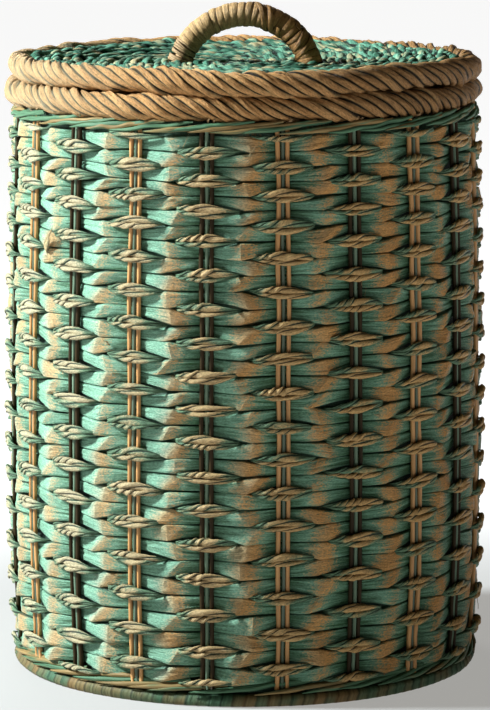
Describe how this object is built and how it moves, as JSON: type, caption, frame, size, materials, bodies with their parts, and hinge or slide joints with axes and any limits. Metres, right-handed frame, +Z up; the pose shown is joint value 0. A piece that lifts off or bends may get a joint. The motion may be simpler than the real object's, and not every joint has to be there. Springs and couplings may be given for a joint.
{
  "type": "laundry basket",
  "caption": "Round woven laundry basket with rods bound to its wall, a thick rope rim, and a lift-off lid with an arched handle.",
  "frame": {"origin": "centre of the foot, on the floor", "axes": "+Z up along the basket's axis; the lid handle's arch lies along X, and the front faces -Y"},
  "size_m": [0.4128, 0.4128, 0.5643],
  "materials": {
    "wall_leaf": "dry, fibrous, washed with green",
    "binding_leaf": "dry, twisted",
    "rod_pale": "smooth, dull",
    "rod_dark": "smooth, stained dark",
    "border_leaf": "dry, rolled, green",
    "foot_leaf": "dry, wrapped",
    "panel_leaf": "dry, twined, green",
    "rope_leaf": "dry, twisted, natural",
    "cane": "smooth, natural",
    "handle_leaf": "dry, tightly wrapped",
    "fine_cord": "fine twisted cord"
  },
  "bodies": {
    "basket": {"foot_hoop": "foot_leaf", "foot_border": "border_leaf", "base_panel": "panel_leaf", "base_cross_lower": "cane", "base_cross_upper": "cane", "wall_weave": "wall_leaf", "stake_01": "rod_pale", "stake_02": "rod_dark", "stake_03": "rod_pale", "stake_04": "rod_dark", "stake_05": "rod_pale", "stake_06": "rod_dark", "stake_07": "rod_pale", "stake_08": "rod_dark", "stake_09": "rod_pale", "stake_10": "rod_dark", "stake_11": "rod_pale", "stake_12": "rod_dark", "stake_13": "rod_pale", "stake_14": "rod_dark", "stake_15": "rod_pale", "stake_16": "rod_dark", "stake_17": "rod_pale", "stake_18": "rod_dark", "stake_19": "rod_pale", "stake_20": "rod_dark", "binding_row_01": "binding_leaf", "binding_row_02": "binding_leaf", "binding_row_03": "binding_leaf", "binding_row_04": "binding_leaf", "binding_row_05": "binding_leaf", "binding_row_06": "binding_leaf", "binding_row_07": "binding_leaf", "binding_row_08": "binding_leaf", "binding_row_09": "binding_leaf", "binding_row_10": "binding_leaf", "binding_row_11": "binding_leaf", "binding_row_12": "binding_leaf", "binding_row_13": "binding_leaf", "binding_row_14": "binding_leaf", "binding_row_15": "binding_leaf", "binding_row_16": "binding_leaf", "binding_row_17": "binding_leaf", "rim_border": "border_leaf", "rim_hoop": "cane", "rim_rope": "rope_leaf", "rim_lashings": "fine_cord"},
    "lid": {"lid_rope": "rope_leaf", "lid_hoop": "cane", "lid_panel": "panel_leaf", "lid_cross_upper": "cane", "lid_cross_lower": "cane", "handle_cane": "cane", "handle_wrap": "handle_leaf", "handle_binding_left": "fine_cord", "handle_binding_right": "fine_cord", "handle_peg_left": "rod_dark", "handle_peg_right": "rod_dark"}
  },
  "joints": [
    {"name": "lid_lift", "type": "slide", "parent": "basket", "child": "lid", "axis": [0, 0, 1], "range_m": [0, 0.3]}
  ]
}
